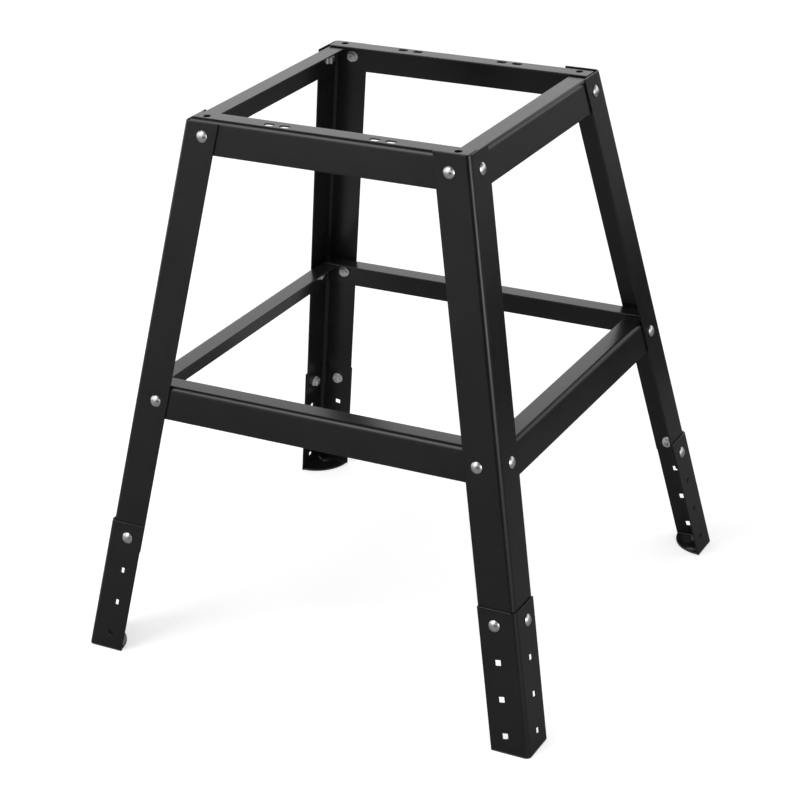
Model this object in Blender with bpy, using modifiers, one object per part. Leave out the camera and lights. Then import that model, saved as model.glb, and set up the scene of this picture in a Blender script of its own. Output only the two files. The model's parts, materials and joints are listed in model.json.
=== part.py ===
"""Scroll saw stand: a splayed frame of bent angle steel on four sliding leg extensions.

Units are metres, +Z is up, the front of the stand faces -Y, and the origin lies on the
floor at the middle of the stand. The extensions are modelled at their longest setting.
"""

import math

import bmesh
import bpy
from mathutils import Matrix, Vector

# Overall size of the stand
STAND_HEIGHT = 0.700        # floor to the top of the front and rear rails
TOP_WIDTH = 0.382           # across the legs at the top, left to right
TOP_DEPTH = 0.3735          # across the legs at the top, front to rear
SPLAY_SIDEWAYS = 10.1       # lean of the left and right faces, in degrees
SPLAY_FORWARD = 9.43        # lean of the front and rear faces, in degrees

# Sheet steel
SHEET = 0.0020              # thickness of every angle
BEND_RADIUS = 0.0050        # inside radius of every bend
BEND_STEPS = 8              # flats that make up one bend
FIT_GAP = 0.0003            # clearance left between pieces that bear on each other

# Legs
LEG_FLANGE = 0.0473         # width of each leg flange, from the outer corner
LEG_TOP_RISE = {            # leg tops above the top of the rails, as the stand was put together
    "front_left": -0.0033,
    "front_right": 0.0018,
    "rear_right": 0.0010,
    "rear_left": -0.0020,
}
LEG_FOOT_CLEAR = 0.0012     # leg end above the foot plate at the shortest setting

# Rails
RAIL_WEB = 0.0426           # height of a rail along its sloping web
RAIL_FLANGE = 0.0275        # width of a rail's level flange, from the outer corner
RAIL_BOLT_DROP = 0.0200     # bolts lie this far below the top of their rail
LOWER_RAIL_TOP = 0.3630     # top of the front and rear lower rails

# Leg extensions
EXTENSION_FLANGE = 0.0500   # width of each extension flange, from the outer corner
EXTENSION_LAP = 0.0200      # extension left above its bolt
LOWEST_HOLE_HEIGHT = 0.0215 # centre of the lowest height hole above the floor, at the leg's corner
SETTING_PITCH = 0.0462      # distance between height holes, along the leg
SETTING_COUNT = 4           # height holes in each extension flange
FOOT_PLATE = 0.0030         # thickness of the plate closing the bottom of an extension
FOOT_PLATE_RADIUS = 0.0485  # of the plate's quarter-round edge
FOOT_STEPS = 16             # flats along the edge of a foot plate

# Bolt places, in from the outer corner of the leg on its front or rear flange
TOP_BOLT_INSET = 0.0288
LOWER_BOLT_INSET = 0.0311
EXTENSION_BOLT_INSET = 0.0274
SIDE_INSET_LESS = 0.0015    # rail bolts on left and right flanges are this much nearer the corner

# Quarter-inch cup-head bolts with square necks, and flange nuts
HEAD_DIAMETER = 0.0148
HEAD_RIM = 0.0006
HEAD_DOME = 0.0032
NECK_WIDTH = 0.0065
SHANK_DIAMETER = 0.0061
SHANK_END = 0.0020          # thread showing past the nut
SHANK_CHAMFER = 0.0008
NUT_ACROSS_FLATS = 0.0111
NUT_HEIGHT = 0.0060
NUT_FLANGE_DIAMETER = 0.0152
NUT_FLANGE_EDGE = 0.0012
NUT_FLANGE_RISE = 0.0010
ROUND_STEPS = 12            # flats around bolts and nuts
HOLE_STEPS = 24             # flats around round holes and slot ends
DOME_STEPS = 4              # flats from the rim of a bolt head to its crown
SHARP_ANGLE = 35            # edges of turned pieces sharper than this stay crisp, in degrees

# Machine fixing slots and end holes in the front and rear top rails
SLOT_LENGTH = 0.0130
SLOT_WIDTH = 0.0080
SLOT_PITCH = 0.0217         # between the two slots of a pair
SLOT_PAIR_SPREAD = 0.1424   # between the middles of the two pairs
SLOT_EDGE = 0.0129          # slot centre line, in from the rail's outer corner
END_HOLE_DIAMETER = 0.0090
END_HOLE_INSET = 0.0223     # end hole, in from the outer corner of the legs

# Finishes: colour, roughness and metallic value
BLACK_COAT = ((0.014, 0.014, 0.015), 0.40, 0.0)
BOLT_ZINC = ((0.62, 0.63, 0.65), 0.25, 1.0)
NUT_ZINC = ((0.55, 0.56, 0.58), 0.32, 1.0)

# Sizes that follow from those above
TAN_X = math.tan(math.radians(SPLAY_SIDEWAYS))
TAN_Y = math.tan(math.radians(SPLAY_FORWARD))
LEG_RISE = 1 / math.hypot(1, TAN_X, TAN_Y)      # height gained per length along a leg
LAP_STEP = SHEET + FIT_GAP                      # between the outer faces of two lapped sheets
BEND_REACH = BEND_RADIUS - math.sqrt(BEND_RADIUS ** 2 - (BEND_RADIUS - FIT_GAP) ** 2)
CROSS_RAIL_END_GAP = BEND_REACH + FIT_GAP       # front and rear rails end where they meet the leg's bend
SIDE_RAIL_END_GAP = BEND_RADIUS + FIT_GAP       # left and right rails end clear of the other rails' bends
CUT_DEPTH = 6 * LAP_STEP                        # enough to pass through lapped sheets
OVERLENGTH = 2 * STAND_HEIGHT                   # bars before their ends are cut
MERGE_DISTANCE = FIT_GAP / 30
EXTENSION_BOLT_HEIGHT = LOWEST_HOLE_HEIGHT + (SETTING_COUNT - 1) * SETTING_PITCH * LEG_RISE
LEG_BOTTOM = EXTENSION_BOLT_HEIGHT - LOWEST_HOLE_HEIGHT + FOOT_PLATE + LEG_FOOT_CLEAR
EXTENSION_TOP = EXTENSION_BOLT_HEIGHT + EXTENSION_LAP

# Height of the bolts in each tier, and their inset on end flanges and on side flanges
BOLT_PLACES = {
    "top": (STAND_HEIGHT - RAIL_BOLT_DROP, TOP_BOLT_INSET, TOP_BOLT_INSET - SIDE_INSET_LESS),
    "lower": (LOWER_RAIL_TOP - RAIL_BOLT_DROP, LOWER_BOLT_INSET, LOWER_BOLT_INSET - SIDE_INSET_LESS),
    "extension": (EXTENSION_BOLT_HEIGHT, EXTENSION_BOLT_INSET, EXTENSION_BOLT_INSET),
}
CORNERS = {
    "front_left": (-1, -1),
    "front_right": (1, -1),
    "rear_right": (1, 1),
    "rear_left": (-1, 1),
}
SIDES = {"front": (0, -1), "rear": (0, 1), "left": (-1, 0), "right": (1, 0)}


def clear_scene():
    for old in list(bpy.data.objects):
        bpy.data.objects.remove(old, do_unlink=True)


def new_collection(name):
    group = bpy.data.collections.new(name)
    bpy.context.scene.collection.children.link(group)
    return group


def finish(name, colour, roughness, metallic):
    material = bpy.data.materials.new(name)
    material.use_nodes = True
    shader = material.node_tree.nodes["Principled BSDF"]
    shader.inputs["Base Color"].default_value = (*colour, 1.0)
    shader.inputs["Roughness"].default_value = roughness
    shader.inputs["Metallic"].default_value = metallic
    return material


def face_normal(side_x, side_y):
    """Outward normal of one sloping face of the stand."""
    return Vector((side_x, side_y, abs(side_x) * TAN_X + abs(side_y) * TAN_Y)).normalized()


def leg_up(corner):
    return Vector((-corner[0] * TAN_X, -corner[1] * TAN_Y, 1)).normalized()


def corner_point(corner, height, out=0.0):
    """Point where two sloping faces meet, each moved outwards along its normal by out."""
    drop = STAND_HEIGHT - height
    x = TOP_WIDTH / 2 + TAN_X * drop + out * math.hypot(1, TAN_X)
    y = TOP_DEPTH / 2 + TAN_Y * drop + out * math.hypot(1, TAN_Y)
    return Vector((corner[0] * x, corner[1] * y, height))


def flange_direction(corner, side):
    """Direction across a leg flange, square to the leg, from its corner to its free edge."""
    across = leg_up(corner).cross(face_normal(*side))
    inwards = Vector((-corner[0] * abs(side[1]), -corner[1] * abs(side[0]), 0))
    return across if across.dot(inwards) > 0 else -across


def leg_sides(corner):
    """The front or rear side, then the left or right side, that meet at a corner."""
    return (0, corner[1]), (corner[0], 0)


def bolt_frame(corner, side, tier):
    """Place of a bolt on a leg's outer face: Z points out of the face, Y up the leg."""
    height, end_inset, side_inset = BOLT_PLACES[tier]
    inset = end_inset if side[0] == 0 else side_inset
    inwards = Vector((-corner[0] * abs(side[1]), -corner[1] * abs(side[0]), 0))
    normal = face_normal(*side)
    up = leg_up(corner)
    frame = Matrix((up.cross(normal), up, normal)).transposed().to_4x4()
    frame.translation = corner_point(corner, height) + inwards * inset
    return frame


def arc(centre, start, end, radius, steps):
    """Points on an arc from direction start to direction end, which are angles."""
    points = []
    for step in range(steps + 1):
        angle = start + (end - start) * step / steps
        points.append((centre[0] + radius * math.cos(angle), centre[1] + radius * math.sin(angle)))
    return points


def angle_outline(first_width, second_width, opening):
    """Section of a bent angle with its outer corner at the origin and one flange along +X."""
    outer_radius = BEND_RADIUS + SHEET
    centre = (outer_radius / math.tan(opening / 2), outer_radius)
    across = (math.cos(opening), math.sin(opening))
    inward = (math.sin(opening), -math.cos(opening))
    from_first = -math.pi / 2
    from_second = opening - 1.5 * math.pi
    outline = [(first_width, 0.0)]
    outline += arc(centre, from_first, from_second, outer_radius, BEND_STEPS)
    outline.append((second_width * across[0], second_width * across[1]))
    outline.append((outline[-1][0] + SHEET * inward[0], outline[-1][1] + SHEET * inward[1]))
    outline += arc(centre, from_second, from_first, BEND_RADIUS, BEND_STEPS)
    outline.append((first_width, SHEET))
    return outline


def prism_mesh(name, outline, length):
    """Mesh of a flat outline given a thickness, half of it to each side."""
    curve = bpy.data.curves.new(name, "CURVE")
    curve.dimensions = "2D"
    curve.fill_mode = "BOTH"
    curve.extrude = length / 2
    spline = curve.splines.new("POLY")
    spline.points.add(len(outline) - 1)
    for point, (x, y) in zip(spline.points, outline):
        point.co = (x, y, 0, 1)
    spline.use_cyclic_u = True
    holder = bpy.data.objects.new(name, curve)
    bpy.context.scene.collection.objects.link(holder)
    mesh = baked_mesh(holder)
    work = bmesh.new()
    work.from_mesh(mesh)
    bmesh.ops.remove_doubles(work, verts=work.verts, dist=MERGE_DISTANCE)
    bmesh.ops.recalc_face_normals(work, faces=work.faces)
    work.to_mesh(mesh)
    work.free()
    bpy.data.objects.remove(holder, do_unlink=True)
    return mesh


def baked_mesh(holder):
    """Mesh of an object with its modifiers applied."""
    shown = holder.evaluated_get(bpy.context.evaluated_depsgraph_get())
    return bpy.data.meshes.new_from_object(shown)


def trim(mesh, frame, cuts):
    """Cuts a mesh by planes, each a point and the normal of the side that goes."""
    to_local = frame.inverted()
    work = bmesh.new()
    work.from_mesh(mesh)
    for point, normal in cuts:
        cut = bmesh.ops.bisect_plane(
            work,
            geom=work.verts[:] + work.edges[:] + work.faces[:],
            plane_co=to_local @ point,
            plane_no=to_local.to_3x3() @ normal,
            clear_outer=True,
        )
        rim = [item for item in cut["geom_cut"] if isinstance(item, bmesh.types.BMEdge)]
        bmesh.ops.triangle_fill(work, use_beauty=True, edges=rim)
    bmesh.ops.recalc_face_normals(work, faces=work.faces)
    work.to_mesh(mesh)
    work.free()


def level_ends(bottom, top):
    """Level end cuts of an upright bar."""
    up = Vector((0, 0, 1))
    return [(up * top, up), (up * bottom, -up)]


def angle_bar(name, corner, flanges, cuts):
    """A bent angle through a corner point, with (direction, width) flanges, cut at its ends."""
    (first, first_width), (second, second_width) = flanges
    run = first.cross(second).normalized()
    frame = Matrix((first, run.cross(first), run)).transposed().to_4x4()
    frame.translation = corner
    outline = angle_outline(first_width, second_width, first.angle(second))
    mesh = prism_mesh(name, outline, OVERLENGTH)
    trim(mesh, frame, cuts)
    return mesh, frame


def place(name, mesh, frame, material, group):
    piece = bpy.data.objects.new(name, mesh)
    piece.matrix_world = frame
    group.objects.link(piece)
    if not mesh.materials:
        mesh.materials.append(material)
    return piece


def smooth(mesh):
    mesh.shade_smooth()
    mesh.set_sharp_from_angle(angle=math.radians(SHARP_ANGLE))


def boolean(piece, other, operation):
    modifier = piece.modifiers.new(operation.title(), "BOOLEAN")
    modifier.solver = "EXACT"
    modifier.operation = operation
    modifier.object = other


def cutter(name, group, shapes):
    """One cutter object from several separate shapes: (kind, frame, size) each."""
    work = bmesh.new()
    for kind, frame, size in shapes:
        if kind == "square":
            scale = Matrix.Diagonal((*size, 1))
            bmesh.ops.create_cube(work, size=1, matrix=frame @ scale)
        else:
            width, length, depth = size
            made = bmesh.ops.create_cone(
                work,
                cap_ends=True,
                segments=HOLE_STEPS,
                radius1=width / 2,
                radius2=width / 2,
                depth=depth,
                matrix=Matrix.Rotation(math.pi / HOLE_STEPS, 4, "Z"),
            )
            for vertex in made["verts"]:
                vertex.co.x += math.copysign((length - width) / 2, vertex.co.x)
            bmesh.ops.transform(work, matrix=frame, verts=made["verts"])
    mesh = bpy.data.meshes.new(name)
    work.to_mesh(mesh)
    work.free()
    holder = bpy.data.objects.new(name, mesh)
    holder.hide_render = True
    holder.display_type = "WIRE"
    group.objects.link(holder)
    return holder


def square_hole(frame):
    width = NECK_WIDTH + 2 * FIT_GAP
    return "square", frame, (width, width, CUT_DEPTH)


def round_hole(frame):
    width = SHANK_DIAMETER + 2 * FIT_GAP
    return "round", frame, (width, width, CUT_DEPTH)


def make_legs(parts, cutters, material):
    for name, corner in CORNERS.items():
        sides = leg_sides(corner)
        flanges = [(flange_direction(corner, side), LEG_FLANGE) for side in sides]
        top = STAND_HEIGHT + LEG_TOP_RISE[name]
        middle = corner_point(corner, (top + LEG_BOTTOM) / 2)
        mesh, frame = angle_bar(name, middle, flanges, level_ends(LEG_BOTTOM, top))
        leg = place(f"leg_{name}", mesh, frame, material, parts)
        holes = [square_hole(bolt_frame(corner, side, tier)) for side in sides for tier in BOLT_PLACES]
        boolean(leg, cutter(f"holes_leg_{name}", cutters, holes), "DIFFERENCE")


def rail_ends(side, height):
    """End cuts of a rail, parallel to the legs' other flanges."""
    gap = CROSS_RAIL_END_GAP if side[0] == 0 else SIDE_RAIL_END_GAP
    cuts = []
    for hand in (-1, 1):
        corner = (hand, side[1]) if side[0] == 0 else (side[0], hand)
        neighbour = (hand, 0) if side[0] == 0 else (0, hand)
        normal = face_normal(*neighbour)
        cuts.append((corner_point(corner, height, -SHEET) - normal * gap, normal))
    return cuts


def rail_holes(side, tier):
    """Bolt holes of a rail, one at each end."""
    holes = []
    for corner in CORNERS.values():
        if side in leg_sides(corner):
            holes.append(round_hole(bolt_frame(corner, side, tier)))
    return holes


def machine_slots(side, top):
    """Slots for the machine's base and end holes in a front or rear top flange."""
    outer = corner_point((1, side[1]), top, -LAP_STEP)
    y = outer.y - side[1] * SLOT_EDGE
    slot_size = (SLOT_WIDTH, SLOT_LENGTH, CUT_DEPTH)
    hole_size = (END_HOLE_DIAMETER, END_HOLE_DIAMETER, CUT_DEPTH)
    shapes = []
    for hand in (-1, 1):
        for offset in (-SLOT_PITCH / 2, SLOT_PITCH / 2):
            x = hand * SLOT_PAIR_SPREAD / 2 + offset
            shapes.append(("round", Matrix.Translation((x, y, top)), slot_size))
        x = hand * (TOP_WIDTH / 2 - END_HOLE_INSET)
        shapes.append(("round", Matrix.Translation((x, y, top)), hole_size))
    return shapes


def make_rails(parts, cutters, material):
    for tier, tier_top in {"top": STAND_HEIGHT, "lower": LOWER_RAIL_TOP}.items():
        for side_name, side in SIDES.items():
            crosswise = side[0] == 0
            top = tier_top if crosswise else tier_top - LAP_STEP
            level = Vector((-side[0], -side[1], 0))
            lean = Vector((side[0] * TAN_X, side[1] * TAN_Y, -1)).normalized()
            outer = corner_point((1, 1), top, -LAP_STEP)
            middle = Vector((side[0] * outer.x, side[1] * outer.y, top))
            flanges = [(level, RAIL_FLANGE), (lean, RAIL_WEB)]
            name = f"{tier}_rail_{side_name}"
            mesh, frame = angle_bar(name, middle, flanges, rail_ends(side, top))
            rail = place(name, mesh, frame, material, parts)
            holes = rail_holes(side, tier)
            if tier == "top" and crosswise:
                holes += machine_slots(side, top)
            boolean(rail, cutter(f"holes_{name}", cutters, holes), "DIFFERENCE")


def foot_plate(name, corner, material, group):
    """Level plate inside the bottom of an extension, made deep and then cut off at the floor."""
    half = SHEET / 2
    bend = BEND_RADIUS + SHEET
    outline = arc((half, half), 0, math.pi / 2, FOOT_PLATE_RADIUS, FOOT_STEPS)
    outline += arc((bend, bend), math.pi, 1.5 * math.pi, bend - half, BEND_STEPS)
    blank_depth = 2 * FOOT_PLATE
    mesh = prism_mesh(name, outline, blank_depth)
    flip = Matrix.Diagonal((-corner[0], -corner[1], 1, 1))
    mesh.transform(flip)
    if corner[0] * corner[1] < 0:
        mesh.flip_normals()
    middle = corner_point(corner, 0.0, LAP_STEP) + Vector((0, 0, FOOT_PLATE - blank_depth / 2))
    return place(name, mesh, Matrix.Translation(middle), material, group)


def make_extensions(parts, cutters, material):
    for name, corner in CORNERS.items():
        sides = leg_sides(corner)
        up = leg_up(corner)
        flanges = [(flange_direction(corner, side), EXTENSION_FLANGE) for side in sides]
        middle = corner_point(corner, EXTENSION_TOP / 2, LAP_STEP)
        mesh, frame = angle_bar(f"blank_{name}", middle, flanges, [])
        blank = place(f"blank_{name}", mesh, frame, material, cutters)
        plate = foot_plate(f"foot_plate_{name}", corner, material, cutters)
        boolean(blank, plate, "UNION")
        welded = baked_mesh(blank)
        trim(welded, frame, level_ends(0, EXTENSION_TOP))
        bpy.data.objects.remove(blank, do_unlink=True)
        bpy.data.objects.remove(plate, do_unlink=True)
        extension = place(f"extension_{name}", welded, frame, material, parts)
        holes = []
        for side in sides:
            for setting in range(SETTING_COUNT):
                shift = Matrix.Translation(-up * SETTING_PITCH * setting)
                holes.append(square_hole(shift @ bolt_frame(corner, side, "extension")))
        boolean(extension, cutter(f"holes_extension_{name}", cutters, holes), "DIFFERENCE")


def turned_mesh(name, profile):
    """Mesh turned about Z from (radius, height) points that run from top to bottom."""
    mesh = bpy.data.meshes.new(name)
    vertices = [(radius, 0, height) for radius, height in profile]
    mesh.from_pydata(vertices, [(i, i + 1) for i in range(len(vertices) - 1)], [])
    holder = bpy.data.objects.new(name, mesh)
    bpy.context.scene.collection.objects.link(holder)
    screw = holder.modifiers.new("Turn", "SCREW")
    screw.steps = ROUND_STEPS
    screw.render_steps = ROUND_STEPS
    screw.use_merge_vertices = True
    screw.merge_threshold = MERGE_DISTANCE
    turned = baked_mesh(holder)
    bpy.data.objects.remove(holder, do_unlink=True)
    return turned


def joined_mesh(name, mesh, others, group):
    """One closed mesh from a mesh and a list of (mesh, operation) steps."""
    holder = bpy.data.objects.new(name, mesh)
    group.objects.link(holder)
    helpers = []
    for index, (other, operation) in enumerate(others):
        helper = bpy.data.objects.new(f"{name}_{index}", other)
        group.objects.link(helper)
        boolean(holder, helper, operation)
        helpers.append(helper)
    joined = baked_mesh(holder)
    for used in [holder, *helpers]:
        bpy.data.objects.remove(used, do_unlink=True)
    smooth(joined)
    return joined


def block_mesh(name, width, bottom, top, sides=4):
    """Square or hexagonal block across flats, between two heights."""
    work = bmesh.new()
    radius = width / 2 / math.cos(math.pi / sides)
    bmesh.ops.create_cone(
        work,
        cap_ends=True,
        segments=sides,
        radius1=radius,
        radius2=radius,
        depth=top - bottom,
        matrix=Matrix.Translation((0, 0, (top + bottom) / 2)) @ Matrix.Rotation(math.pi / sides, 4, "Z"),
    )
    mesh = bpy.data.meshes.new(name)
    work.to_mesh(mesh)
    work.free()
    return mesh


def head_profile(seat):
    """Cup head above its seat, from the crown down to the rim."""
    radius = HEAD_DIAMETER / 2
    ball = (radius ** 2 + HEAD_DOME ** 2) / (2 * HEAD_DOME)
    spread = math.asin(radius / ball)
    base = seat + HEAD_RIM + HEAD_DOME - ball
    points = []
    for step in range(DOME_STEPS + 1):
        angle = spread * step / DOME_STEPS
        points.append((ball * math.sin(angle), base + ball * math.cos(angle)))
    return points + [(radius, seat)]


def shank_profile(start, end):
    radius = SHANK_DIAMETER / 2
    return [(radius, start), (radius, end + SHANK_CHAMFER), (radius - SHANK_CHAMFER, end), (0, end)]


def nut_mesh(seat, group, bore):
    """Flange nut below its seat, with a bore where the bolt is a piece of its own."""
    radius = NUT_FLANGE_DIAMETER / 2
    flange = [
        (0, seat),
        (radius, seat),
        (radius, seat - NUT_FLANGE_EDGE),
        (NUT_ACROSS_FLATS / 2, seat - NUT_FLANGE_EDGE - NUT_FLANGE_RISE),
        (0, seat - NUT_FLANGE_EDGE - NUT_FLANGE_RISE),
    ]
    hexagon = block_mesh("hexagon", NUT_ACROSS_FLATS, seat - NUT_HEIGHT, seat - NUT_FLANGE_EDGE / 2, 6)
    steps = [(hexagon, "UNION")]
    if bore:
        half = SHANK_DIAMETER / 2 + FIT_GAP
        above = seat + SHEET
        below = seat - 2 * NUT_HEIGHT
        hole = [(0, above), (half, above), (half, below), (0, below)]
        steps.append((turned_mesh("bore", hole), "DIFFERENCE"))
    return joined_mesh("flange_nut", turned_mesh("nut_flange", flange), steps, group)


def make_fasteners(parts, cutters, bolt_finish, nut_finish):
    seat = FIT_GAP
    rail_nut_seat = -2 * LAP_STEP
    leg_nut_seat = -LAP_STEP
    rail_bolt_end = rail_nut_seat - NUT_HEIGHT - SHANK_END
    leg_bolt_end = leg_nut_seat - NUT_HEIGHT - SHANK_END
    neck = block_mesh("neck", NECK_WIDTH, -SHEET, seat + HEAD_RIM / 2)
    whole = turned_mesh("cup_bolt", head_profile(seat) + shank_profile(seat, rail_bolt_end))
    bolt = joined_mesh("cup_bolt", whole, [(neck, "UNION")], cutters)
    nut = nut_mesh(rail_nut_seat, cutters, bore=True)
    solid_nut = nut_mesh(rail_nut_seat, cutters, bore=False)
    bolt_and_nut = joined_mesh("cup_bolt_and_nut", bolt.copy(), [(solid_nut, "UNION")], cutters)
    head = turned_mesh("cup_head", head_profile(LAP_STEP + seat) + [(0, LAP_STEP + seat)])
    smooth(head)
    stub = turned_mesh("bolt_end", [(0, 0)] + shank_profile(0, leg_bolt_end))
    leg_nut = nut_mesh(leg_nut_seat, cutters, bore=False)
    leg_nut = joined_mesh("nut_and_bolt_end", stub, [(leg_nut, "UNION")], cutters)
    for corner_name, corner in CORNERS.items():
        for side in leg_sides(corner):
            place_name = f"{corner_name}_{'end' if side[0] == 0 else 'side'}"
            top = bolt_frame(corner, side, "top")
            lower = bolt_frame(corner, side, "lower")
            foot = bolt_frame(corner, side, "extension")
            place(f"top_bolt_{place_name}", bolt, top, bolt_finish, parts)
            place(f"top_nut_{place_name}", nut, top, nut_finish, parts)
            place(f"lower_bolt_and_nut_{place_name}", bolt_and_nut, lower, bolt_finish, parts)
            place(f"extension_bolt_head_{place_name}", head, foot, bolt_finish, parts)
            place(f"extension_nut_{place_name}", leg_nut, foot, nut_finish, parts)


def main():
    clear_scene()
    parts = new_collection("scroll_saw_stand")
    cutters = new_collection("cutters")
    make_legs(parts, cutters, finish("black_powder_coated_legs", *BLACK_COAT))
    make_rails(parts, cutters, finish("black_powder_coated_rails", *BLACK_COAT))
    make_extensions(parts, cutters, finish("black_powder_coated_extensions", *BLACK_COAT))
    bolt_finish = finish("bright_zinc_bolts", *BOLT_ZINC)
    nut_finish = finish("bright_zinc_nuts", *NUT_ZINC)
    make_fasteners(parts, cutters, bolt_finish, nut_finish)
    bpy.context.view_layer.update()


main()
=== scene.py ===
"""Looks of the scroll saw stand: black powder-coated angle steel with bright zinc bolts and nuts."""

import json
import math

import bmesh
import bpy
from mathutils import Matrix, Quaternion, Vector

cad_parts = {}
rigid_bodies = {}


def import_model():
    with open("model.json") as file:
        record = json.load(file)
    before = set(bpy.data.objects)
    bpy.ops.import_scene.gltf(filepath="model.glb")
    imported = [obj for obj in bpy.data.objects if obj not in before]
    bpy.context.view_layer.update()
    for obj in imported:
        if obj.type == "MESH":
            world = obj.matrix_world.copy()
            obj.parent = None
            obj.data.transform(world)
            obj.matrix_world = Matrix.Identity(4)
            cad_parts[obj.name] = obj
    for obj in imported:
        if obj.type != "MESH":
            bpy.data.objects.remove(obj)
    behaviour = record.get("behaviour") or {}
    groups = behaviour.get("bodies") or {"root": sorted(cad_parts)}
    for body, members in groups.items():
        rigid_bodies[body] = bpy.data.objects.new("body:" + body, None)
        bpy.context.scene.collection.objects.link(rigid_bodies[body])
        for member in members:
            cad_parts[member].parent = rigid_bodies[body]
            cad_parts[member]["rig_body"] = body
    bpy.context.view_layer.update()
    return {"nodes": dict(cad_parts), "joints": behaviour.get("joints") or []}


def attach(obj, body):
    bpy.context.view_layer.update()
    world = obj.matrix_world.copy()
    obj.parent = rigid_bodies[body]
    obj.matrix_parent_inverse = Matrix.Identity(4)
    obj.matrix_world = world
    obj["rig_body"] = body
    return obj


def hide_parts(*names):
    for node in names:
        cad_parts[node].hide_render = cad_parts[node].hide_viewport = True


for old in list(bpy.data.objects):
    bpy.data.objects.remove(old, do_unlink=True)

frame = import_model()

MM = 0.001

# Edges of the coated sheet, rounded by the coat
WELD_DISTANCE = 0.005 * MM
FLAT_ANGLE = math.radians(0.5)
EDGE_ANGLE = math.radians(40)
EDGE_ROUND = 0.7 * MM
EDGE_STEPS = 3
EDGE_PROFILE = 0.5          # a quarter circle

# Quarter-inch cup-head bolts
HEAD_DIAMETER = 14.8 * MM
HEAD_DOME = 3.2 * MM
HEAD_RIM = 0.6 * MM
HEAD_HEIGHT = HEAD_DOME + HEAD_RIM
NECK_WIDTH = 6.5 * MM
NECK_LENGTH = 2.3 * MM
GRIP = 4.9 * MM             # from under the head to the seat of the nut
CORE_DIAMETER = 5.1 * MM
THREAD_DIAMETER = 6.1 * MM
THREAD_PITCH = 1.27 * MM
THREAD_SIDES = 4            # the ridge is a square bar on edge, half sunk in the core
THREAD_END = 2.0 * MM       # thread showing past the nut

# Quarter-inch flange nuts
NUT_SIDES = 6
NUT_ACROSS_FLATS = 11.1 * MM
NUT_HEIGHT = 6.0 * MM
NUT_FLANGE_DIAMETER = 15.2 * MM
NUT_FLANGE_EDGE = 1.2 * MM
NUT_FLANGE_RISE = 1.2 * MM
NUT_FACE_DIAMETER = 10.6 * MM
NUT_CHAMFER = math.radians(30)
NUT_DRILL_LENGTH = 4 * NUT_HEIGHT   # long enough to go right through
NUT_SPIN_SEED = 7

# Roundness of the bolts and nuts, and the angle at which an edge shows
ROUND_STEPS = 48
CRISP_ANGLE = math.radians(32)

# Black powder coat: widths of its patterns, tints with their places on the clouds, and gloss
COAT_CLOUD = dict(Scale=1 / (60 * MM), Detail=4)
COAT_PEEL = dict(Scale=1 / (3.5 * MM), Detail=2)
COAT_GRIT = dict(Scale=1 / (1.2 * MM), Detail=2)
COAT_TINTS = ((0.3, "#161617"), (0.7, "#1c1c1d"))
COAT_ROUGHNESS = (0.22, 0.28)
COAT_IOR = 1.5

# Bright zinc plating. The nuts sit in shade inside the legs, so their zinc is drawn lighter and only part
# metal: painted light that brightens them there
ZINC_CLOUD = dict(Scale=1 / (6 * MM), Detail=3)
ZINC_GRAIN = dict(Scale=1 / (2 * MM), Detail=2)
BOLT_ZINC = dict(tints=((0.35, "#e0e2e4"), (0.65, "#f0f1f2")), roughness=(0.34, 0.26), metal=1.0)
NUT_ZINC_WITH_PAINTED_LIGHT = dict(tints=((0.35, "#e3e5e7"), (0.65, "#f4f5f6")), roughness=(0.38, 0.30), metal=0.55)

# Unevenness of both finishes
BUMP_HEIGHT = 0.03 * MM
BUMP_STRENGTH = 0.5

# Camera at the photograph's viewing angle, in degrees, metres and millimetres of lens and sensor
VIEW_AZIMUTH = 28.418
VIEW_ELEVATION = 24.691
VIEW_ROLL = -1.622
VIEW_DISTANCE = 2.95625
VIEW_TARGET = Vector((-0.0029, -0.0107, 0.2880))
VIEW_LENS = 102.03
SENSOR_WIDTH = 36.0

# White room and paper floor
WHITE = (1, 1, 1, 1)
BACKDROP_LIGHT = 1.0        # what the camera sees
ROOM_LIGHT = 0.50           # what falls on the stand
FLOOR_SIZE = 60.0
FLOOR_COLOUR = "#ededed"
FLOOR_GLOW = 0.54

# Paper cards round the stand: bands of radius, height and azimuth from the front, in metres and degrees
CARD_STEPS = 64
CARD_LIFT = 2 * MM
ON_FLOOR = (CARD_LIFT, CARD_LIFT)
ON_CARD = (2 * CARD_LIFT, 2 * CARD_LIFT)   # on top of the floor card
CEILING = (3.4, 3.4)
LOW_WALL = (0, 0.9)
TALL_WALL = (0, 1.6)
WALL_RADII = (2.95, 2.95)
CAMERA_WALL_RADII = (2.90, 2.90)
ALL_ROUND = (0, 360)
CARDS = {
    "floor_card": dict(radii=(0.01, 3.0), heights=ON_FLOOR, azimuths=ALL_ROUND, colour="#949494"),
    "near_floor_card": dict(radii=(0.45, 0.85), heights=ON_CARD, azimuths=(150, 305), colour="#d0d0d0"),
    "rear_floor_card": dict(radii=(1.3, 2.65), heights=ON_CARD, azimuths=(115, 165), colour="#4c4c4c"),
    "ceiling_card": dict(radii=(0.1, 4.9), heights=CEILING, azimuths=ALL_ROUND, colour="#808080"),
    "front_card": dict(radii=WALL_RADII, heights=LOW_WALL, azimuths=(-70, -8), colour="#c8c8c8"),
    "side_card": dict(radii=WALL_RADII, heights=LOW_WALL, azimuths=(92, 185), colour="#b4b4b4"),
    "camera_card": dict(radii=CAMERA_WALL_RADII, heights=TALL_WALL, azimuths=(-8, 44), colour="#303030"),
}

# Lamps, in metres and watts
SOFTBOXES = {
    "key_softbox": dict(place=(-1.2, -2.0, 2.9), width=2.0, height=2.0, watts=40),
    "back_softbox": dict(place=(-1.3, 2.6, 1.6), width=2.2, height=1.2, watts=2.4),
    "side_softbox": dict(place=(1.33, -0.61, 0.68), width=0.5, height=0.5, watts=2.4),
}

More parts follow.
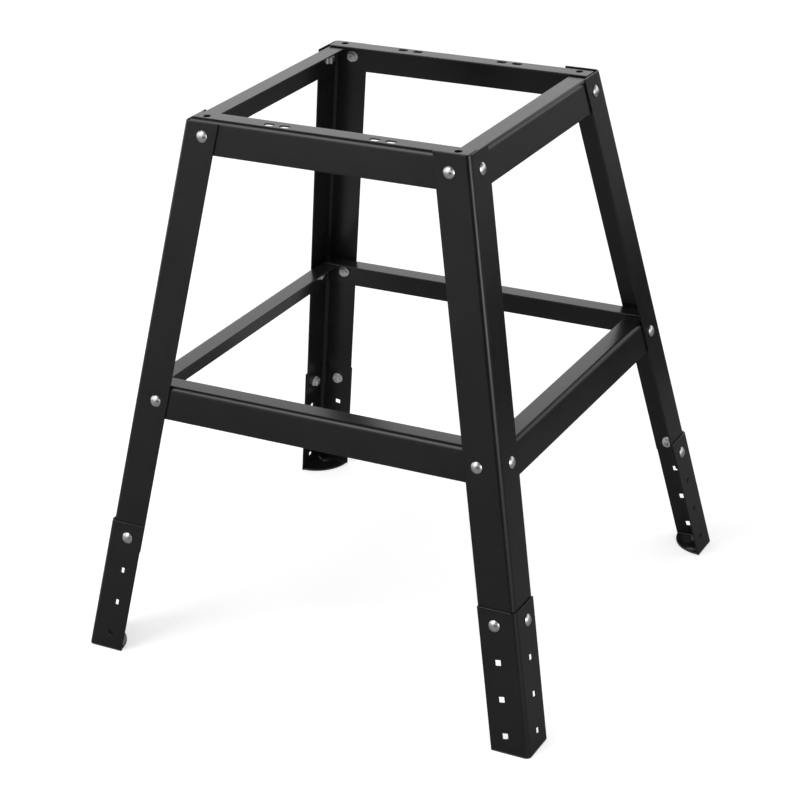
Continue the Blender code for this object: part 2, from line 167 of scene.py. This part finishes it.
# Lean of the stand's faces, as run over rise, from the line along which a leg extension slides
leg_line = Vector(frame["joints"][0]["axis"])
LEAN_X = abs(leg_line.x / leg_line.z)
LEAN_Y = abs(leg_line.y / leg_line.z)


def linear(hex_colour):
    """Linear RGBA of an sRGB hex colour."""
    channels = [int(hex_colour[i:i + 2], 16) / 255 for i in (1, 3, 5)]
    return (*[c / 12.92 if c <= 0.04045 else ((c + 0.055) / 1.055) ** 2.4 for c in channels], 1.0)


def add_node(tree, kind, inputs=None, **settings):
    """Adds a node; each input takes a value, a socket, or a list of sockets."""
    node = tree.nodes.new(kind)
    for name, value in settings.items():
        setattr(node, name, value)
    for key, value in (inputs or {}).items():
        for source in value if isinstance(value, list) else [value]:
            if isinstance(source, bpy.types.NodeSocket):
                tree.links.new(source, node.inputs[key])
            else:
                node.inputs[key].default_value = source
    return node


def new_finish(name, cloud_size, tints, roughness):
    """A material whose tint and gloss drift in soft clouds, and the place that its patterns read."""
    material = bpy.data.materials.new(name)
    material.use_nodes = True
    tree = material.node_tree
    shader = tree.nodes["Principled BSDF"]
    place = add_node(tree, "ShaderNodeTexCoord").outputs["Object"]
    cloud = add_node(tree, "ShaderNodeTexNoise", {"Vector": place, **cloud_size})
    tint = add_node(tree, "ShaderNodeValToRGB", {"Fac": cloud.outputs["Fac"]})
    for stop, (position, colour) in zip(tint.color_ramp.elements, tints):
        stop.position = position
        stop.color = linear(colour)
    gloss = add_node(
        tree, "ShaderNodeMapRange",
        {"Value": cloud.outputs["Fac"], "To Min": roughness[0], "To Max": roughness[1]},
    )
    tree.links.new(tint.outputs["Color"], shader.inputs["Base Color"])
    tree.links.new(gloss.outputs["Result"], shader.inputs["Roughness"])
    return material, tree, shader, place


def powder_coat():
    """Black semi-gloss polyester powder coat, baked on: an even black with a soft orange peel.

    The peel of a real coat is 1 to 2 mm wide and its grit finer still. Both are too fine to show,
    so they are drawn at 3.5 mm and 1.2 mm.
    """
    material, tree, shader, place = new_finish("black_powder_coat", COAT_CLOUD, COAT_TINTS, COAT_ROUGHNESS)
    peel = add_node(tree, "ShaderNodeTexNoise", {"Vector": place, **COAT_PEEL})
    grit = add_node(tree, "ShaderNodeTexNoise", {"Vector": place, **COAT_GRIT})
    relief = add_node(
        tree, "ShaderNodeMath", {0: peel.outputs["Fac"], 1: grit.outputs["Fac"]}, operation="ADD"
    )
    bump = add_node(
        tree, "ShaderNodeBump",
        {"Height": relief.outputs[0], "Distance": BUMP_HEIGHT, "Strength": BUMP_STRENGTH},
    )
    tree.links.new(bump.outputs["Normal"], shader.inputs["Normal"])
    shader.inputs["IOR"].default_value = COAT_IOR
    return material


def zinc_plating(name, tints, roughness, metal):
    """Bright zinc electroplate: a cool silver metal with faint clouds of its clear passivation.

    The cold-formed steel under it is a little uneven, which breaks up the highlights.
    """
    material, tree, shader, place = new_finish(name, ZINC_CLOUD, tints, roughness)
    grain = add_node(tree, "ShaderNodeTexNoise", {"Vector": place, **ZINC_GRAIN})
    bump = add_node(
        tree, "ShaderNodeBump",
        {"Height": grain.outputs["Fac"], "Distance": BUMP_HEIGHT, "Strength": BUMP_STRENGTH},
    )
    tree.links.new(bump.outputs["Normal"], shader.inputs["Normal"])
    shader.inputs["Metallic"].default_value = metal
    return material


def body_of(node):
    """Name of the body that a node rides on."""
    return frame["nodes"][node]["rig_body"]


def plain_mesh(holder):
    """Mesh of an object with its modifiers applied."""
    shown = holder.evaluated_get(bpy.context.evaluated_depsgraph_get())
    return bpy.data.meshes.new_from_object(shown)


def coated_sheet(node, finish):
    """A bent sheet piece: the frame's own shape with every cut edge rounded by its coat."""
    mesh = frame["nodes"][node].data.copy()
    work = bmesh.new()
    work.from_mesh(mesh)
    bmesh.ops.remove_doubles(work, verts=work.verts, dist=WELD_DISTANCE)
    flat_edges = [edge for edge in work.edges if edge.calc_face_angle(EDGE_ANGLE) < FLAT_ANGLE]
    bmesh.ops.beautify_fill(work, faces=work.faces, edges=flat_edges, method="AREA")
    cut_edges = [edge for edge in work.edges if edge.calc_face_angle_signed(0) > EDGE_ANGLE]
    bmesh.ops.bevel(
        work, geom=cut_edges, offset=EDGE_ROUND, offset_type="OFFSET", segments=EDGE_STEPS,
        profile=EDGE_PROFILE, affect="EDGES", miter_outer="ARC",
    )
    work.to_mesh(mesh)
    work.free()
    mesh.shade_smooth()
    piece = bpy.data.objects.new(f"coated_{node}", mesh)
    bpy.context.scene.collection.objects.link(piece)
    normals = piece.modifiers.new("Even shading", "WEIGHTED_NORMAL")
    normals.keep_sharp = True
    piece.data = plain_mesh(piece)
    piece.modifiers.clear()
    piece.data.materials.clear()
    piece.data.materials.append(finish)
    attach(piece, body_of(node))
    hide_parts(node)


def bolt_seat(node):
    """Crown of a bolt head, and its turn: Z points out of the stand's face, Y runs up the leg."""
    hand = Vector((1 if "right" in node else -1, 1 if "rear" in node else -1, 0))
    face = Vector((0, hand.y, LEAN_Y)) if node.endswith("_end") else Vector((hand.x, 0, LEAN_X))
    face.normalize()
    up = Vector((-hand.x * LEAN_X, -hand.y * LEAN_Y, 1)).normalized()
    turn = Matrix((up.cross(face), up, face)).transposed()
    inverse = turn.transposed()
    points = [inverse @ vertex.co for vertex in frame["nodes"][node].data.vertices]
    middle = [(min(p[i] for p in points) + max(p[i] for p in points)) / 2 for i in (0, 1)]
    crown = turn @ Vector((*middle, max(p.z for p in points)))
    return crown, turn.to_quaternion()


def fastener_tree(name, sizes):
    """A node group with named sizes and a finish, and its inputs."""
    tree = bpy.data.node_groups.new(name, "GeometryNodeTree")
    tree.interface.new_socket("Geometry", in_out="INPUT", socket_type="NodeSocketGeometry")
    for size, value in sizes.items():
        kind = {int: "NodeSocketInt", float: "NodeSocketFloat"}.get(type(value), "NodeSocketVector")
        tree.interface.new_socket(size, in_out="INPUT", socket_type=kind).default_value = value
    tree.interface.new_socket("Finish", in_out="INPUT", socket_type="NodeSocketMaterial")
    tree.interface.new_socket("Geometry", in_out="OUTPUT", socket_type="NodeSocketGeometry")
    return tree, tree.nodes.new("NodeGroupInput").outputs


def set_on_points(tree, given, shape, turn):
    """Ends a fastener tree: the shape on every point, made real, edged and finished."""
    welded = add_node(tree, "GeometryNodeMergeByDistance", {"Geometry": shape, "Distance": WELD_DISTANCE})
    instances = add_node(
        tree, "GeometryNodeInstanceOnPoints",
        {"Points": given["Geometry"], "Instance": welded.outputs[0], "Rotation": turn},
    )
    real = add_node(tree, "GeometryNodeRealizeInstances", {"Geometry": instances.outputs[0]})
    smooth = add_node(tree, "GeometryNodeSetShadeSmooth", {"Geometry": real.outputs[0]}, domain="FACE")
    angle = add_node(tree, "GeometryNodeInputMeshEdgeAngle")
    crisp = add_node(
        tree, "FunctionNodeCompare", {0: angle.outputs["Unsigned Angle"], 1: CRISP_ANGLE},
        data_type="FLOAT", operation="GREATER_THAN",
    )
    edged = add_node(
        tree, "GeometryNodeSetShadeSmooth",
        {"Geometry": smooth.outputs[0], "Selection": crisp.outputs[0], "Shade Smooth": False},
        domain="EDGE",
    )
    plated = add_node(
        tree, "GeometryNodeSetMaterial", {"Geometry": edged.outputs[0], "Material": given["Finish"]}
    )
    add_node(tree, "NodeGroupOutput", {"Geometry": plated.outputs[0]})


def cup_bolt_tree():
    """Cup-head bolt with a square neck and a rolled thread; its origin is the crown of the head."""
    head_radius = HEAD_DIAMETER / 2
    ball_radius = (head_radius ** 2 + HEAD_DOME ** 2) / (2 * HEAD_DOME)
    neck_length = NECK_LENGTH + HEAD_RIM
    thread_length = GRIP - NECK_LENGTH + NUT_HEIGHT + THREAD_END
    core_length = GRIP + NUT_HEIGHT + THREAD_END
    tree, size = fastener_tree("cup_bolts", {
        "Head Radius": head_radius,
        "Head Height": HEAD_HEIGHT,
        "Head Middle": (0, 0, -HEAD_HEIGHT / 2),
        "Ball Radius": ball_radius,
        "Ball Middle": (0, 0, -ball_radius),
        "Neck Size": (NECK_WIDTH, NECK_WIDTH, neck_length),
        "Neck Middle": (0, 0, -HEAD_DOME - neck_length / 2),
        "Core Radius": CORE_DIAMETER / 2,
        "Core Length": core_length,
        "Core Middle": (0, 0, -HEAD_HEIGHT - core_length / 2),
        "Thread Turns": thread_length / THREAD_PITCH - 1,
        "Thread Height": thread_length - THREAD_PITCH,
        "Thread Start": (0, 0, -HEAD_HEIGHT - core_length + THREAD_PITCH / 2),
        "Thread Path Radius": CORE_DIAMETER / 2,
        "Thread Ridge": (THREAD_DIAMETER - CORE_DIAMETER) / 2,
        "Thread Sides": THREAD_SIDES,
        "Round Steps": ROUND_STEPS,
    })

    # Cup head: a ball trimmed to a disc
    disc = add_node(
        tree, "GeometryNodeMeshCylinder",
        {"Vertices": size["Round Steps"], "Radius": size["Head Radius"], "Depth": size["Head Height"]},
    )
    low_disc = add_node(
        tree, "GeometryNodeTransform",
        {"Geometry": disc.outputs["Mesh"], "Translation": size["Head Middle"]},
    )
    ball = add_node(
        tree, "GeometryNodeMeshUVSphere",
        {"Segments": size["Round Steps"], "Rings": size["Round Steps"], "Radius": size["Ball Radius"]},
    )
    low_ball = add_node(
        tree, "GeometryNodeTransform",
        {"Geometry": ball.outputs["Mesh"], "Translation": size["Ball Middle"]},
    )
    head = add_node(
        tree, "GeometryNodeMeshBoolean", {"Mesh 2": [low_disc.outputs[0], low_ball.outputs[0]]},
        operation="INTERSECT", solver="EXACT",
    )

    # Square neck, let into the head
    block = add_node(tree, "GeometryNodeMeshCube", {"Size": size["Neck Size"]})
    neck = add_node(
        tree, "GeometryNodeTransform",
        {"Geometry": block.outputs["Mesh"], "Translation": size["Neck Middle"]},
    )

    # Shank: a core with a ridge wound round it
    rod = add_node(
        tree, "GeometryNodeMeshCylinder",
        {"Vertices": size["Round Steps"], "Radius": size["Core Radius"], "Depth": size["Core Length"]},
    )
    core = add_node(
        tree, "GeometryNodeTransform",
        {"Geometry": rod.outputs["Mesh"], "Translation": size["Core Middle"]},
    )
    helix = add_node(
        tree, "GeometryNodeCurveSpiral",
        {"Resolution": size["Round Steps"], "Rotations": size["Thread Turns"],
         "Start Radius": size["Thread Path Radius"], "End Radius": size["Thread Path Radius"],
         "Height": size["Thread Height"]},
    )
    section = add_node(
        tree, "GeometryNodeCurvePrimitiveCircle",
        {"Resolution": size["Thread Sides"], "Radius": size["Thread Ridge"]},
    )
    ridge = add_node(
        tree, "GeometryNodeCurveToMesh",
        {"Curve": helix.outputs[0], "Profile Curve": section.outputs[0], "Fill Caps": True},
    )
    thread = add_node(
        tree, "GeometryNodeTransform",
        {"Geometry": ridge.outputs[0], "Translation": size["Thread Start"]},
    )

    bolt = add_node(
        tree, "GeometryNodeMeshBoolean",
        {"Mesh 2": [head.outputs["Mesh"], neck.outputs[0], core.outputs[0], thread.outputs[0]]},
        operation="UNION", solver="EXACT",
    )
    turn = add_node(tree, "GeometryNodeInputNamedAttribute", {"Name": "turn"}, data_type="QUATERNION")
    set_on_points(tree, size, bolt.outputs["Mesh"], turn.outputs["Attribute"])
    return tree


def flange_nut_tree():
    """Hexagon flange nut with chamfered corners; its origin is the crown of its bolt's head."""
    face_radius = NUT_FACE_DIAMETER / 2
    tree, size = fastener_tree("flange_nuts", {
        "Nut Sides": NUT_SIDES,
        "Corner Radius": NUT_ACROSS_FLATS / 2 / math.cos(math.pi / NUT_SIDES),
        "Nut Height": NUT_HEIGHT,
        "Nut Middle": (0, 0, NUT_HEIGHT / 2),
        "Face Radius": face_radius,
        "Chamfer Radius": face_radius + NUT_HEIGHT / math.tan(NUT_CHAMFER),
        "Flange Radius": NUT_FLANGE_DIAMETER / 2,
        "Flange Edge": NUT_FLANGE_EDGE,
        "Flange Edge Middle": (0, 0, NUT_FLANGE_EDGE / 2),
        "Flange Rise": NUT_FLANGE_RISE,
        "Flange Rise Start": (0, 0, NUT_FLANGE_EDGE),
        "Bore Radius": CORE_DIAMETER / 2,
        "Drill Length": NUT_DRILL_LENGTH,
        "Seat": (0, 0, -HEAD_HEIGHT - GRIP),
        "Round Steps": ROUND_STEPS,
        "Widest Spin": 2 * math.pi / NUT_SIDES,
        "Spin Seed": NUT_SPIN_SEED,
    })

    # Hexagon, seat down, with the corners of its outer face turned off by a cone
    bar = add_node(
        tree, "GeometryNodeMeshCylinder",
        {"Vertices": size["Nut Sides"], "Radius": size["Corner Radius"], "Depth": size["Nut Height"]},
    )
    hexagon = add_node(
        tree, "GeometryNodeTransform",
        {"Geometry": bar.outputs["Mesh"], "Translation": size["Nut Middle"]},
    )
    cone = add_node(
        tree, "GeometryNodeMeshCone",
        {"Vertices": size["Round Steps"], "Radius Top": size["Face Radius"],
         "Radius Bottom": size["Chamfer Radius"], "Depth": size["Nut Height"]},
    )
    crowned = add_node(
        tree, "GeometryNodeMeshBoolean", {"Mesh 2": [hexagon.outputs[0], cone.outputs["Mesh"]]},
        operation="INTERSECT", solver="EXACT",
    )

    # Flange: a disc with a sloping top
    disc = add_node(
        tree, "GeometryNodeMeshCylinder",
        {"Vertices": size["Round Steps"], "Radius": size["Flange Radius"], "Depth": size["Flange Edge"]},
    )
    edge = add_node(
        tree, "GeometryNodeTransform",
        {"Geometry": disc.outputs["Mesh"], "Translation": size["Flange Edge Middle"]},
    )
    slope = add_node(
        tree, "GeometryNodeMeshCone",
        {"Vertices": size["Round Steps"], "Radius Top": size["Face Radius"],
         "Radius Bottom": size["Flange Radius"], "Depth": size["Flange Rise"]},
    )
    top = add_node(
        tree, "GeometryNodeTransform",
        {"Geometry": slope.outputs["Mesh"], "Translation": size["Flange Rise Start"]},
    )
    solid = add_node(
        tree, "GeometryNodeMeshBoolean",
        {"Mesh 2": [crowned.outputs["Mesh"], edge.outputs[0], top.outputs[0]]},
        operation="UNION", solver="EXACT",
    )

    # Bore, drilled from end to end, and the nut turned over onto its seat
    drill = add_node(
        tree, "GeometryNodeMeshCylinder",
        {"Vertices": size["Round Steps"], "Radius": size["Bore Radius"], "Depth": size["Drill Length"]},
    )
    bored = add_node(
        tree, "GeometryNodeMeshBoolean",
        {"Mesh 1": solid.outputs["Mesh"], "Mesh 2": drill.outputs["Mesh"]},
        operation="DIFFERENCE", solver="EXACT",
    )
    seated = add_node(
        tree, "GeometryNodeTransform",
        {"Geometry": bored.outputs["Mesh"], "Rotation": (math.pi, 0, 0), "Translation": size["Seat"]},
    )

    # Each nut stopped at its own angle when it was tightened
    turn = add_node(tree, "GeometryNodeInputNamedAttribute", {"Name": "turn"}, data_type="QUATERNION")
    angle = add_node(
        tree, "FunctionNodeRandomValue",
        {"Min": 0.0, "Max": size["Widest Spin"], "Seed": size["Spin Seed"]}, data_type="FLOAT",
    )
    spin = add_node(
        tree, "FunctionNodeAxisAngleToRotation", {"Axis": (0, 0, 1), "Angle": angle.outputs["Value"]}
    )
    spun = add_node(
        tree, "FunctionNodeRotateRotation",
        {"Rotation": turn.outputs["Attribute"], "Rotate By": spin.outputs[0]},
        rotation_space="LOCAL",
    )
    set_on_points(tree, size, seated.outputs[0], spun.outputs[0])
    return tree


def fasteners(name, tree, finish, seats, nodes):
    """One mesh of all the bolts or all the nuts, which the frame's body holds."""
    mesh = bpy.data.meshes.new(name)
    mesh.from_pydata([crown for crown, _ in seats], [], [])
    turns = mesh.attributes.new("turn", "QUATERNION", "POINT")
    for value, (_, turn) in zip(turns.data, seats):
        value.value = turn
    piece = bpy.data.objects.new(name, mesh)
    bpy.context.scene.collection.objects.link(piece)
    modifier = piece.modifiers.new(name, "NODES")
    modifier.node_group = tree
    modifier[tree.interface.items_tree["Finish"].identifier] = finish
    piece.data = plain_mesh(piece)
    piece.modifiers.clear()
    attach(piece, body_of(nodes[0]))
    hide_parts(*nodes)


def dress_sheets():
    """Coats the legs, rails and extensions."""
    coat = powder_coat()
    for node in sorted(frame["nodes"]):
        if node.startswith("leg_"):
            coated_sheet(node, coat)
        elif "_rail_" in node:
            coated_sheet(node, coat)
        elif body_of(node) != "frame":
            coated_sheet(node, coat)


def dress_fasteners():
    """Sets a whole bolt and its nut at every bolt head of the frame."""
    bolt_kinds = ("top_bolt_", "lower_bolt_and_nut_", "extension_bolt_head_")
    nut_kinds = ("top_nut_", "extension_nut_")
    bolts = [node for node in sorted(frame["nodes"]) if node.startswith(bolt_kinds)]
    nuts = [node for node in sorted(frame["nodes"]) if node.startswith(nut_kinds)]
    seats = [bolt_seat(node) for node in bolts]
    bolt_zinc = zinc_plating("bright_zinc_bolt", **BOLT_ZINC)
    # The nuts' zinc is drawn lighter and part metal: painted light for the shade inside the legs
    nut_zinc_with_painted_light = zinc_plating("bright_zinc_nut_with_painted_light", **NUT_ZINC_WITH_PAINTED_LIGHT)
    fasteners("cup_head_bolts", cup_bolt_tree(), bolt_zinc, seats, bolts)
    fasteners("flange_nuts", flange_nut_tree(), nut_zinc_with_painted_light, seats, nuts)


def background_rays(tree):
    """One for rays that show the background: those of the camera, of gloss and of glass."""
    path = add_node(tree, "ShaderNodeLightPath").outputs
    shown = add_node(
        tree, "ShaderNodeMath", {0: path["Is Camera Ray"], 1: path["Is Glossy Ray"]}, operation="MAXIMUM"
    )
    shown = add_node(
        tree, "ShaderNodeMath", {0: shown.outputs[0], 1: path["Is Transmission Ray"]}, operation="MAXIMUM"
    )
    return shown.outputs[0]


def stage_piece(name, work):
    """An object of the studio from a mesh in the making, and its empty material."""
    mesh = bpy.data.meshes.new(name)
    work.to_mesh(mesh)
    work.free()
    piece = bpy.data.objects.new(name, mesh)
    bpy.context.scene.collection.objects.link(piece)
    material = bpy.data.materials.new(name)
    material.use_nodes = True
    material.node_tree.nodes.clear()
    mesh.materials.append(material)
    return piece, material.node_tree


def room():
    """White surroundings that light the stand at a plain level."""
    world = bpy.data.worlds.new("studio")
    bpy.context.scene.world = world
    world.use_nodes = True
    tree = world.node_tree
    tree.nodes.clear()
    white = add_node(tree, "ShaderNodeBackground", {"Color": WHITE, "Strength": BACKDROP_LIGHT})
    soft = add_node(tree, "ShaderNodeBackground", {"Color": WHITE, "Strength": ROOM_LIGHT})
    chosen = add_node(
        tree, "ShaderNodeMixShader", {0: background_rays(tree), 1: soft.outputs[0], 2: white.outputs[0]}
    )
    add_node(tree, "ShaderNodeOutputWorld", {"Surface": chosen.outputs[0]})


def floor():
    """White paper floor that keeps the stand's soft shadow."""
    work = bmesh.new()
    bmesh.ops.create_grid(work, x_segments=1, y_segments=1, size=FLOOR_SIZE / 2)
    _, tree = stage_piece("white_paper_floor", work)
    paper = add_node(tree, "ShaderNodeBsdfDiffuse", {"Color": linear(FLOOR_COLOUR)})
    glow = add_node(tree, "ShaderNodeEmission", {"Color": WHITE, "Strength": FLOOR_GLOW})
    both = add_node(tree, "ShaderNodeAddShader", {0: paper.outputs[0], 1: glow.outputs[0]})
    seen = add_node(
        tree, "ShaderNodeMixShader", {0: background_rays(tree), 1: paper.outputs[0], 2: both.outputs[0]}
    )
    add_node(tree, "ShaderNodeOutputMaterial", {"Surface": seen.outputs[0]})


def card(name, radii, heights, azimuths, colour):
    """A paper card along an arc round the stand, out of the picture, that shows in gloss only."""
    work = bmesh.new()
    rows = []
    for step in range(CARD_STEPS + 1):
        azimuth = math.radians(azimuths[0] + (azimuths[1] - azimuths[0]) * step / CARD_STEPS)
        rows.append([
            work.verts.new((radius * math.sin(azimuth), -radius * math.cos(azimuth), height))
            for radius, height in zip(radii, heights)
        ])
    for left, right in zip(rows, rows[1:]):
        work.faces.new((left[0], right[0], right[1], left[1]))
    piece, tree = stage_piece(name, work)
    paper = add_node(tree, "ShaderNodeBsdfDiffuse", {"Color": linear(colour)})
    add_node(tree, "ShaderNodeOutputMaterial", {"Surface": paper.outputs[0]})
    piece.visible_camera = False
    piece.visible_diffuse = False
    piece.visible_transmission = False
    piece.visible_shadow = False


def softbox(name, place, width, height, watts):
    """A lamp that faces the point the camera looks at, low in the middle of the stand."""
    lamp = bpy.data.lights.new(name, "AREA")
    lamp.shape = "RECTANGLE"
    lamp.size = width
    lamp.size_y = height
    lamp.energy = watts
    holder = bpy.data.objects.new(name, lamp)
    holder.location = place
    holder.rotation_mode = "QUATERNION"
    holder.rotation_quaternion = (holder.location - VIEW_TARGET).to_track_quat("Z", "Y")
    holder.visible_camera = False
    bpy.context.scene.collection.objects.link(holder)


def camera():
    """The camera, where the photograph was taken from."""
    lens = bpy.data.cameras.new("camera")
    lens.sensor_width = SENSOR_WIDTH
    lens.lens = VIEW_LENS
    holder = bpy.data.objects.new("camera", lens)
    azimuth = math.radians(VIEW_AZIMUTH)
    elevation = math.radians(VIEW_ELEVATION)
    back = Vector((
        math.sin(azimuth) * math.cos(elevation),
        -math.cos(azimuth) * math.cos(elevation),
        math.sin(elevation),
    ))
    holder.location = VIEW_TARGET + back * VIEW_DISTANCE
    holder.rotation_mode = "QUATERNION"
    roll = Quaternion((0, 0, 1), math.radians(VIEW_ROLL))
    holder.rotation_quaternion = back.to_track_quat("Z", "Y") @ roll
    bpy.context.scene.collection.objects.link(holder)
    bpy.context.scene.camera = holder


bpy.context.scene.view_settings.view_transform = "Standard"
dress_sheets()
dress_fasteners()
room()
floor()
for card_name, shape in CARDS.items():
    card(card_name, **shape)
for lamp_name, settings in SOFTBOXES.items():
    softbox(lamp_name, **settings)
camera()
